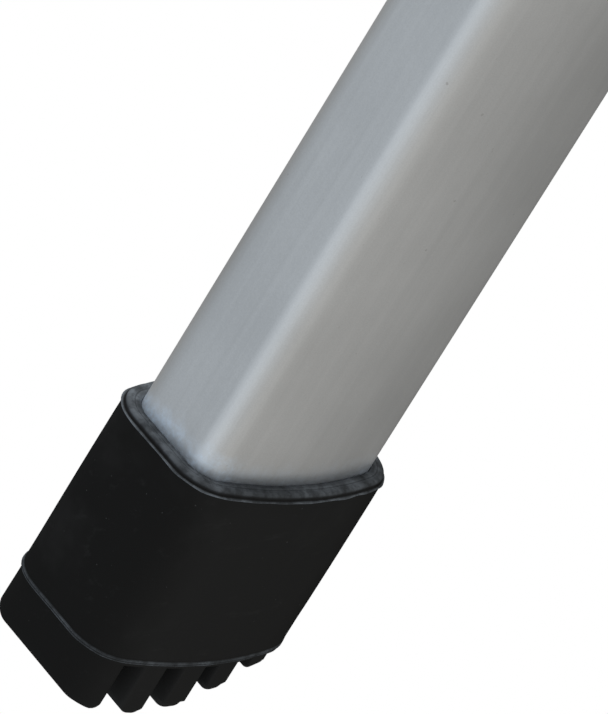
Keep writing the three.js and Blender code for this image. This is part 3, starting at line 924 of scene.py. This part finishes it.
@dataclass
class Loft:
    """The rings of a loft, in order, each with its outline, heights and edge values."""

    count: int
    outlines: list[Array] = field(default_factory=list)
    heights: list[Array] = field(default_factory=list)
    edges: list[Array] = field(default_factory=list)

    def add(self, outline: Array, height: Array | float, edge: Array | float) -> None:
        """Add a ring of the loft's count of points; one height or edge value may serve them all."""
        self.outlines.append(outline)
        self.heights.append(np.broadcast_to(height, self.count))
        self.edges.append(np.broadcast_to(edge, self.count))


@dataclass
class RubberFoot:
    """A moulded rubber sleeve on an arm's end, with a sole of ribs that slopes with the ladder.

    Attributes:
        side: "left" or "right".
        foot: The foot's axes.
        section: The tube's section.
        wall: The sleeve's wall.
        socket_floor: The rubber under the tube's end.
        web: How far the sole's plane lies below the level that the ribs' depths start from.
        toe: The radius of the sole's curl at its shallow end.
        rib_offset: How far the ribs' ends stand outside the tube's outline.
        heel: The radius of the ribs' lower edges at their outward ends.
        root: How far the ribs reach up into the sleeve, in millimetres.
        root_share: The same as a share of a shallow rib's depth.
        swell_share: The share of a rib's depth over which its swell builds up.
        insets_end: How far in the lower face's innermost loop is, of half the rib's thickness.
        corner_passes: How many times the corners of a rib's footprint are eased.
        smooth_degrees: Edges of the sleeve sharper than this stay sharp.
        rib_smooth_degrees: The same for a rib.
        side_rows: Rings from the mouth's profile to the sole's, both ends counted.
        rib_side_rows: Loops down a rib's sides.
        rib_lower_rows: Loops over its lower face, with the one at its edge.
        rib_edge_steps: Points along each long edge of its footprint.
        rib_end_steps: Points along each end of it.
        rib_curve_steps: Points that each end's curve is first measured at.
        ribs: The ribs, from the ladder's base up.
    """

    side: str
    foot: FootFrame
    section: Section
    wall: float = 3.2 * MM
    socket_floor: float = 3.0 * MM
    web: float = 1.2 * MM
    toe: float = 6.0 * MM
    rib_offset: float = 3.04 * MM
    heel: float = 2.6 * MM
    root: float = 2.5
    root_share: float = 0.25
    swell_share: float = 0.8
    insets_end: float = 0.96
    corner_passes: int = 4
    smooth_degrees: float = 50.0
    rib_smooth_degrees: float = 55.0
    side_rows: int = 14
    rib_side_rows: int = 12
    rib_lower_rows: int = 22
    rib_edge_steps: int = 64
    rib_end_steps: int = 28
    rib_curve_steps: int = 60
    ribs: tuple[Rib, ...] = (
        Rib(-26.0, -17.7, 10.2, 12.1, 2.6, 0.5, 0.38),
        Rib(-13.8, -8.7, 11.75, 11.75, 2.2, 0.4),
        Rib(-4.7, 0.7, 11.45, 11.1, 2.0, 2.0),
        Rib(3.9, 9.3, 8.05, 7.5, 2.2, 1.4),
        Rib(13.3, 18.0, 4.3, 3.8, 0.9, 1.3),
    )

    def rim_profile(self) -> Array:
        """Return the mouth's profile as (offset from the tube, drop below the mouth, edge) rows.

        From the tube outwards: a tucked edge, two low ridges with a shallow groove between them,
        a rounded shoulder, a groove, the thin flash left by the mould, and the side.
        """
        rows = np.array([
            (0.04, 3.00, 0.0), (0.04, 0.45, 0.5), (0.10, 0.22, 0.8), (0.30, 0.08, 0.9),
            (0.65, 0.03, 0.7), (1.00, 0.02, 0.9), (1.20, 0.04, 1.0), (1.32, 0.07, 0.6),
            (1.44, 0.07, 0.6), (1.58, 0.03, 1.0), (1.90, 0.02, 0.8), (2.25, 0.05, 0.9),
            (2.55, 0.13, 0.8), (2.78, 0.30, 0.6), (2.86, 0.62, 0.1), (2.87, 0.98, 0.0),
            (3.02, 1.10, 0.1), (3.30, 1.10, 0.9), (3.48, 1.20, 1.0), (3.40, 1.36, 0.7),
            (3.14, 1.48, 0.0), (3.12, 1.70, 0.0), (3.16, 2.30, 0.0),
        ])
        return rows * (MM, MM, 1.0)

    def edge_profile(self) -> Array:
        """Return the profile round the sole's edge as (offset from the tube, height, edge) rows.

        Down the side, out over the two close lines of flash, and in to the sole.
        """
        rows = np.array([
            (3.24, 7.00, 0.0), (3.26, 3.00, 0.0), (3.26, 1.90, 0.0), (3.22, 1.62, 0.0),
            (3.36, 1.44, 0.5), (3.50, 1.32, 0.7), (3.44, 1.18, 0.2), (3.42, 1.08, 0.2),
            (3.54, 0.96, 0.7), (3.44, 0.82, 0.6), (3.16, 0.70, 0.0), (3.10, 0.50, 0.0),
            (3.06, 0.00, 0.0),
        ])
        return rows * (MM, MM, 1.0)

    def lift(self, width: Array) -> Array:
        """Return how high the sole's edge stands: it curls up at the shallow end.

        It is the height of a circle of the toe's radius that touches the sole's plane and the
        end face.
        """
        end = self.section.wide / 2 + self.wall
        past = np.clip((width - (end - self.toe)) / self.toe, 0.0, 0.97)
        return self.toe * (1.0 - np.sqrt(1.0 - past**2))

    def sleeve_surface(self) -> bpy.types.Object:
        """Loft the sleeve from its socket, over the mouth, down the side and across the sole.

        Each ring is the tube's outline at an offset.
        """
        count = len(self.section.outline())
        turn = np.linspace(0.0, 2.0 * np.pi, count, endpoint=False)
        wander, waver = ripple(turn, 7), ripple(turn, 19)
        loft = Loft(count)
        self._mouth_rings(loft, wander, waver)
        self._side_rings(loft)
        self._edge_rings(loft, wander, waver)
        stack, height = np.stack(loft.outlines), np.stack(loft.heights)
        rings = self.foot.place(stack[..., 0], stack[..., 1], height)
        surface = Surface()
        numbers = surface.add_points(rings, np.clip(np.stack(loft.edges), 0.0, 1.0))
        surface.add_grid(numbers)
        self._close_sole(surface, numbers[-1], stack[-1], height[-1])
        socket = np.array(SLEEVE - self.socket_floor)
        middle = self.foot.place(np.array(0.0), np.array(0.0), socket)
        surface.add_fan(numbers[0], middle)
        return surface.build(f"{self.side}_foot_sleeve", self.smooth_degrees)

    def _mouth_rings(self, loft: Loft, wander: Array, waver: Array) -> None:
        """Add the mouth's rings. The flash wanders a little in height and wavers in reach."""
        for offset, drop, edge in self.rim_profile():
            flash = float(smooth_step(np.array(offset), 3.10 * MM, 3.40 * MM))
            outline = self._grown(offset, 0.10 * MM * waver * flash)
            sag = 0.10 * MM * wander * flash + 0.03 * MM * waver
            # The edge value paints the mouth's ridges and flash paler: a painted highlight, with a
            # little rubbing.
            loft.add(outline, SLEEVE - drop + sag, edge * (0.75 + 0.25 * wander))

    def _side_rings(self, loft: Loft) -> None:
        """Add the side's rings between the two profiles, with a slight swell half way down."""
        top = SLEEVE - self.rim_profile()[-1, 1]
        end = self.edge_profile()[0, 1]
        for share in np.linspace(0.0, 1.0, self.side_rows)[1:-1]:
            offset = (3.18 + 0.06 * share + 0.05 * math.sin(math.pi * share)) * MM
            loft.add(self.section.outline(offset), top + (end - top) * share, 0.0)

    def _edge_rings(self, loft: Loft, wander: Array, waver: Array) -> None:
        """Add the rings round the sole's edge.

        They rise with the toe's curl, and the flash fades towards the toe.
        """
        plain = self.section.outline(3.16 * MM)
        for offset, height, edge in self.edge_profile():
            outline = self._grown(offset, 0.05 * MM * waver * edge)
            fade = 1.0 - smooth_step(outline[:, 1], 14.0 * MM, 24.0 * MM)
            outline = plain + (outline - plain) * (0.35 + 0.65 * fade[:, None])
            near_sole = 1.0 - float(smooth_step(np.array(height), 3.0 * MM, 7.0 * MM))
            level = height - self.web + self.lift(outline[:, 1]) * near_sole
            ragged = 0.06 * MM * wander * edge
            # How much painted highlight, with a little rubbing, the flash gets; less towards the
            # toe.
            worn = edge * (0.3 + 0.7 * fade) * (0.75 + 0.25 * waver)
            loft.add(outline, level + ragged, worn)

    def _grown(self, offset: float, extra: Array) -> Array:
        """Return the outline at an offset, moved out by an extra amount that varies round it.

        The normal at each point is the difference between two outlines over their distance.
        """
        step = 0.1 * MM
        outline = self.section.outline(offset)
        normal = (self.section.outline(offset + step) - outline) / step
        return outline + normal * extra[:, None]

    def _close_sole(self, surface: Surface, ring: Array, outline: Array, level: Array) -> None:
        """Close the sleeve's lower ring with strips that run across from side to side."""
        half = len(ring) // 2 + 1
        right, left = ring[:half], np.roll(ring[::-1], 1)[:half]
        share = np.linspace(0.0, 1.0, 6)[1:-1]
        across = outline[:half, 0][:, None] * (1.0 - 2.0 * share)
        strips = self.foot.place(across, outline[:half, 1][:, None], level[:half, None])
        inner = surface.add_points(strips)
        surface.add_grid(np.hstack([right[:, None], inner, left[:, None]]), ring_columns=False)

    def span(self, rib: Rib) -> tuple[float, float]:
        """Return where a rib starts and ends along the tube's width, cut off at the sole's end."""
        return max(rib.start * MM, -self.section.wide / 2 - self.rib_offset), rib.end * MM

    def contour(self, rib: Rib, inset: float) -> Array:
        """Return a rib's footprint drawn in by an inset, as one closed loop.

        The footprint is the part of the sole's outline between the rib's two long edges. Each of
        its four sides is spaced evenly, so loops of different insets match point for point. The
        corners are eased by averaging each point with its neighbours a few times over.

        Args:
            rib: The rib.
            inset: How far the loop lies inside the footprint.

        Returns:
            Points of shape (n, 2): across the thickness and along the width.
        """
        start, stop = self.span(rib)
        low, high = start + inset, stop - inset
        turn = np.linspace(0.0, np.pi, self.rib_curve_steps)
        width = (low + high) / 2 + (high - low) / 2 * np.cos(turn)
        end = np.stack([self.section.reach(width, self.rib_offset - inset), width], axis=-1)
        end = evenly(end, self.rib_end_steps)
        mirror = (-1.0, 1.0)
        start_edge = evenly(np.stack([end[-1], end[-1] * mirror]), self.rib_edge_steps)
        other_end = end[::-1] * mirror
        far_edge = evenly(np.stack([end[0] * mirror, end[0]]), self.rib_edge_steps)
        loop = np.vstack([end[:-1], start_edge[:-1], other_end[:-1], far_edge[:-1]])
        for _ in range(self.corner_passes):
            loop = (np.roll(loop, 1, axis=0) + 2.0 * loop + np.roll(loop, -1, axis=0)) / 4.0
        return loop

    def tread(self, rib: Rib, loop: Array) -> Array:
        """Return the height of a rib's lower face at each point of a loop inside its footprint.

        It is minus the rib's depth there, raised by r (1 - sqrt(1 - n^2)). Here n^2 is the sum,
        for the nearer long side and the nearer end, of ((r - d) / r)^2 at a distance d under that
        side's rounding r, and never over 1. The r outside is the mean of the two, each counted
        by its share of n^2, so long edges and ends meet in smooth corners.

        Args:
            rib: The rib.
            loop: Points of shape (n, 2) from contour().

        Returns:
            The n heights.
        """
        across, width = loop[:, 0], loop[:, 1]
        start, stop = self.span(rib)
        reach = self.section.reach(width, self.rib_offset)
        depth = np.interp(width, [start, stop], [rib.start_depth * MM, rib.end_depth * MM])
        heel = min(self.heel, rib.start_depth * MM / 2)
        near_side = np.minimum(width - start, stop - width)
        near_end = np.minimum(reach - across, reach + across)
        long_round = rib.round * MM
        end_round = np.where(across > 0.0, rib.tip * MM, heel)
        side_share = np.clip(1.0 - near_side / long_round, 0.0, 1.0) ** 2
        end_share = np.clip(1.0 - near_end / end_round, 0.0, 1.0) ** 2
        total = side_share + end_share
        radius = (side_share * long_round + end_share * end_round) / np.maximum(total, TINY)
        return radius * (1.0 - np.sqrt(1.0 - np.minimum(total, 1.0))) - depth

    def rib_surface(self, number: int, rib: Rib) -> bpy.types.Object:
        """Loft one rib down its sides and over its rounded lower face.

        The sides are the footprint's own loop at heights from inside the sleeve to the lower
        face's edge, leaning out by the swell. The lower face is a nest of loops drawn further in,
        closer together by its edges: the inset grows as 1 - cos of an even turn.
        """
        outer = self.contour(rib, 0.0)
        top = min(self.root, self.root_share * rib.end_depth) * MM
        share = np.linspace(0.0, 1.0, self.rib_side_rows)[:, None]
        sides = np.broadcast_to(outer, (self.rib_side_rows, *outer.shape))
        side_heights = top + (self.tread(rib, outer) - top) * share
        start, stop = self.span(rib)
        thickness = stop - start
        turn = np.linspace(0.0, np.pi / 2, self.rib_lower_rows)[1:]
        insets = thickness / 2 * self.insets_end * (1.0 - np.cos(turn))
        lower = np.stack([self.contour(rib, inset) for inset in insets])
        lower_heights = np.stack([self.tread(rib, loop) for loop in lower])
        loops = np.concatenate([sides, lower])
        heights = np.concatenate([side_heights, lower_heights])
        lean = smooth_step(-heights, 0.0, rib.end_depth * MM * self.swell_share)
        towards = np.clip((stop - loops[..., 1]) / thickness, 0.0, 1.0)
        loops[..., 1] -= rib.swell * MM * lean * towards
        surface = Surface()
        numbers = surface.add_points(self.foot.place(loops[..., 0], loops[..., 1], heights))
        surface.add_grid(numbers)
        for end in (-1, 0):
            middle = (*loops[end].mean(0), heights[end].mean())
            centre = self.foot.place(*(np.array(part) for part in middle))
            surface.add_fan(numbers[end], centre)
        return surface.build(f"{self.side}_sole_rib_{number}", self.rib_smooth_degrees)

    def build(self) -> None:
        """Build the sleeve and its ribs, and dress them."""
        finish = MouldedRubber("foot_rubber")
        dress(self.sleeve_surface(), finish, "rubber", "frame", f"{self.side}_foot")
        for number, rib in enumerate(self.ribs, 1):
            piece = self.rib_surface(number, rib)
            dress(piece, finish, "rubber", "frame", f"{self.side}_foot")


# ---- The CAD pieces ----


@dataclass(frozen=True)
class Eased:
    """How a CAD piece is refined: its finish, slot and the width of its eased edges."""

    finish: Finish
    slot: str
    ease: float


@dataclass
class Bracket:
    """A bracket's pieces, each a copy of its CAD piece with eased edges and a full finish."""

    side: str

    def recipes(self) -> dict[str, Eased]:
        """Return each piece's treatment by the end of its name."""
        zinc = ZincPlate("zinc_plate")
        coat = PowderCoat("powder_coat")
        cast = CastMetal("cast_jaw")
        rubber = MouldedRubber("pad_rubber")
        drawn = DrawnAluminium("channel_aluminium", run=Along.Y)
        return {
            "channel": Eased(drawn, "tube", 0.35 * MM),
            "upper_jaw": Eased(cast, "cast_aluminium", 0.8 * MM),
            "lower_jaw": Eased(cast, "cast_aluminium", 0.8 * MM),
            "rung_hook": Eased(coat, "black_steel", 0.6 * MM),
            "latch": Eased(coat, "black_steel", 0.7 * MM),
            "hook_liner": Eased(rubber, "rubber", 0.5 * MM),
            "upper_rung_pad": Eased(rubber, "rubber", 0.9 * MM),
            "lower_rung_pad": Eased(rubber, "rubber", 0.9 * MM),
            "latch_pin": Eased(zinc, "zinc_steel", 0.3 * MM),
            "latch_spacer": Eased(Nylon("nylon"), "nylon", 0.3 * MM),
            "latch_spring": Eased(zinc, "zinc_steel", 0.0),
        }

    def build(self) -> None:
        """Refine every piece of the bracket."""
        for ending, recipe in self.recipes().items():
            refine(f"{self.side}_{ending}", recipe)


def body_of_node(node: str) -> str:
    """Return the name of the body that a CAD node belongs to."""
    bodies = frame["record"]["behaviour"]["bodies"]
    return next(body for body, nodes in bodies.items() if node in nodes)


def refine(node: str, recipe: Eased) -> None:
    """Replace a CAD node with a merged copy whose flat faces are whole and edges eased.

    Args:
        node: The CAD node.
        recipe: Its treatment.
    """
    mesh = frame["nodes"][node].data.copy()
    shell = bmesh.new()
    shell.from_mesh(mesh)
    bmesh.ops.remove_doubles(shell, verts=shell.verts, dist=WELD)
    flat = math.radians(FLAT_DEGREES)
    bmesh.ops.dissolve_limit(shell, angle_limit=flat, verts=shell.verts, edges=shell.edges)
    shell.to_mesh(mesh)
    shell.free()
    piece = finished(f"{node}_piece", mesh, SOFT_DEGREES)
    if recipe.ease:
        bevel = piece.modifiers.new("eased_edges", "BEVEL")
        bevel.width = recipe.ease
        bevel.segments = 2
        bevel.limit_method = "ANGLE"
        bevel.angle_limit = math.radians(EASED_DEGREES)
        bevel.use_clamp_overlap = True
        bevel.harden_normals = False
    dress(piece, recipe.finish, recipe.slot, body_of_node(node), node)


def refine_fasteners() -> None:
    """Refine every bolt, washer and nut, and the splice inside the crossbar."""
    zinc = ZincPlate("fastener_zinc")
    for node in sorted(frame["nodes"]):
        if node.endswith(("_bolt", "_washer", "_nut")):
            refine(node, Eased(zinc, "zinc_steel", 0.25 * MM))
    inner = DrawnAluminium("splice_aluminium", run=Along.X)
    refine("centre_splice", Eased(inner, "tube", 0.2 * MM))


# ---- The stage ----


@dataclass(frozen=True)
class Lobe:
    """Soft light from one side, the clipped cosine to its direction raised to a power.

    Attributes:
        direction: The way to it.
        power: How narrow it is.
        strength: How bright it is in its middle.
    """

    direction: tuple[float, float, float]
    power: float
    strength: float


@dataclass
class Studio:
    """A pale floor, soft light from all round, and the camera.

    Attributes:
        azimuth: The camera's turn round the object, in degrees from the front.
        elevation: Its height above the level, in degrees.
        distance: How far it stands from the left foot's mouth.
        aside: How far it is moved to its right.
        above: How far it is moved up.
        lens: Its focal length, in millimetres.
        sensor: Its sensor's width, in millimetres.
        clip: The nearest and farthest distance that it sees.
        window: The large cool light in front, to the left.
        panel: The narrow light that draws the line along the tube's corner.
        table: The light that a pale table below would throw back.
        ceiling: The light overhead.
        haze: The light from everywhere.
        warm: The light's tint away from the window.
        cool: Its tint in the window's middle.
        floor_half: Half of the floor's side.
        floor_gap: How far the floor lies under the object.
    """

    azimuth: float = 41.81
    elevation: float = 2.22
    distance: float = 1.214
    aside: float = 7.88 * MM
    above: float = 13.02 * MM
    lens: float = 360.8
    sensor: float = 36.0
    clip: tuple[float, float] = (0.05, 200.0)
    window: Lobe = Lobe((-0.55, -0.83, -0.05), 1.3, 0.45)
    panel: Lobe = Lobe((-0.20, -0.88, -0.43), 14.0, 0.52)
    table: Lobe = Lobe((0.25, -0.15, -1.00), 1.25, 0.56)
    ceiling: Lobe = Lobe((0.00, 0.30, 1.00), 2.0, 1.1)
    haze: float = 0.22
    warm: Colour = (1.0, 1.0, 0.972, 1.0)
    cool: Colour = (0.910, 1.0, 1.085, 1.0)
    floor_half: float = 60.0
    floor_gap: float = 0.3 * MM

    def floor(self) -> None:
        """Lay a pale floor just under the object's lowest point."""
        level = float(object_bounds()[0][2]) - self.floor_gap
        corners = np.array([[-1, -1, 0], [1, -1, 0], [1, 1, 0], [-1, 1, 0]]) * self.floor_half
        mesh = bpy.data.meshes.new("floor")
        mesh.from_pydata((corners + level * UPWARD).tolist(), [], [(0, 1, 2, 3)])
        material = bpy.data.materials.new("pale_floor")
        material.use_nodes = True
        graph = Graph(material.node_tree)
        glow = graph.node("ShaderNodeEmission", {}, {"Color": grey(1.0), "Strength": 1.0})
        graph.node("ShaderNodeOutputMaterial", {}, {"Surface": glow.outputs[0]})
        mesh.materials.append(material)
        piece = in_scene("floor", mesh)
        piece.visible_diffuse = False
        piece.visible_glossy = False
        piece.visible_shadow = False
        piece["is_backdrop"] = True

    def light(self) -> None:
        """Surround the object with a soft white room.

        It is brightest overhead, in front on the left and below, and falls off behind. The
        camera sees plain white instead.
        """
        world = bpy.data.worlds.new("soft_room")
        bpy.context.scene.world = world
        world.use_nodes = True
        graph = Graph(world.node_tree)
        way = graph.node("ShaderNodeTexCoord").outputs["Generated"]

        def towards(lobe: Lobe) -> Value:
            """Return 1 in the middle of a lobe, falling to 0 at right angles to it."""
            unit = tuple(Vector(lobe.direction).normalized())
            settings = {"operation": "DOT_PRODUCT"}
            dot = graph.node("ShaderNodeVectorMath", settings, {0: way, 1: unit})
            cosine = Value(graph, dot.outputs["Value"])
            return graph.math("MAXIMUM", cosine, 0.0) ** lobe.power

        strength: Link = self.haze
        for lobe in (self.window, self.panel, self.table, self.ceiling):
            strength = strength + lobe.strength * towards(lobe)
        tint = graph.mix(towards(self.window), self.warm, self.cool)
        room = graph.node("ShaderNodeBackground", {}, {"Color": tint, "Strength": strength})
        white = graph.node("ShaderNodeBackground", {}, {"Color": grey(1.0), "Strength": 1.0})
        seen = graph.node("ShaderNodeLightPath").outputs["Is Camera Ray"]
        shaders = {0: seen, 1: room.outputs[0], 2: white.outputs[0]}
        both = graph.node("ShaderNodeMixShader", {}, shaders)
        graph.node("ShaderNodeOutputWorld", {}, {"Surface": both.outputs[0]})
        bpy.context.scene.view_settings.view_transform = "Standard"

    def camera(self, foot: FootFrame) -> None:
        """Stand the camera a little above the left foot, looking past its near corner.

        Args:
            foot: The left foot's axes.
        """
        turn, rise = math.radians(self.azimuth), math.radians(self.elevation)
        level = Vector((math.sin(turn), -math.cos(turn), 0.0))
        back = math.cos(rise) * level + math.sin(rise) * Vector(UPWARD)
        right = Vector(UPWARD).cross(back).normalized()
        up = back.cross(right)
        mouth = Vector(foot.origin + SLEEVE * foot.up)
        data = bpy.data.cameras.new("camera")
        data.lens = self.lens
        data.sensor_width = self.sensor
        data.clip_start, data.clip_end = self.clip
        camera = in_scene("camera", data)
        place = mouth + self.aside * right + self.above * up + self.distance * back
        facing = Matrix((right, up, back)).transposed().to_4x4()
        camera.matrix_world = Matrix.Translation(place) @ facing
        bpy.context.scene.camera = camera


def main() -> None:
    """Build the stabiliser's looks, piece by piece."""
    logging.basicConfig(level=logging.INFO, format="%(name)s: %(message)s")
    section = Section()
    feet = {side: FootFrame.of(side) for side in ("left", "right")}
    for side, foot in feet.items():
        ArmTube(side, foot, section).build()
        RubberFoot(side, foot, section).build()
        Bracket(side).build()
    refine_fasteners()
    studio = Studio()
    studio.floor()
    studio.light()
    studio.camera(feet["left"])


if __name__ == "__main__":
    main()
